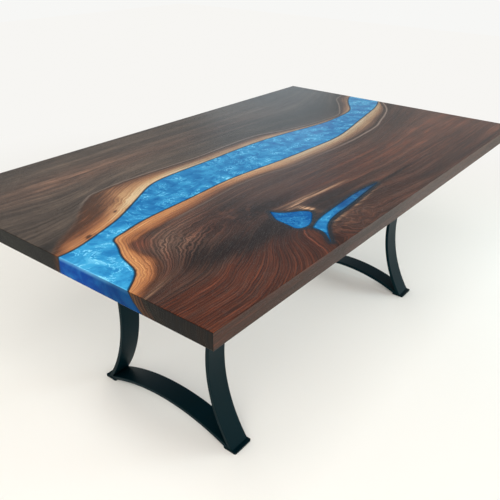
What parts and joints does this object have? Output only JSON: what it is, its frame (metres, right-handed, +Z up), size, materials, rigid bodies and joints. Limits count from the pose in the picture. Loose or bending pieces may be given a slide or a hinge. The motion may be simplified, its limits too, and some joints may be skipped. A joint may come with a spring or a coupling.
{
  "type": "live edge dining table",
  "caption": "Rectangular dining table: live edge wood slabs joined by a cast blue resin river, on hourglass leg frames of bent flat bar with arched stretchers.",
  "frame": {"origin": "on the floor, under the centre of the top", "axes": "+X along the length towards the end with the shorter leg overhang, +Y towards the left slab, +Z up"},
  "size_m": [1.829, 1.067, 0.762],
  "materials": {
    "walnut": "satin oil",
    "river_resin": "pearlescent, polished",
    "black_powder_coat": "satin powder coat",
    "zinc_plated_steel": "zinc plated"
  },
  "bodies": {
    "root": {"slab_left": "walnut", "slab_right": "walnut", "resin_river": "river_resin", "resin_knot_pool": "river_resin", "resin_knot_tail": "river_resin", "near_leg_mounting_plate": "black_powder_coat", "near_leg_left_upright": "black_powder_coat", "near_leg_right_upright": "black_powder_coat", "near_leg_arch_stretcher": "black_powder_coat", "near_leg_left_foot_plate": "black_powder_coat", "near_leg_right_foot_plate": "black_powder_coat", "near_leg_weld_beads": "black_powder_coat", "near_leg_lag_screws": "zinc_plated_steel", "near_leg_washers": "zinc_plated_steel", "far_leg_mounting_plate": "black_powder_coat", "far_leg_left_upright": "black_powder_coat", "far_leg_right_upright": "black_powder_coat", "far_leg_arch_stretcher": "black_powder_coat", "far_leg_left_foot_plate": "black_powder_coat", "far_leg_right_foot_plate": "black_powder_coat", "far_leg_weld_beads": "black_powder_coat", "far_leg_lag_screws": "zinc_plated_steel", "far_leg_washers": "zinc_plated_steel"}
  },
  "joints": []
}
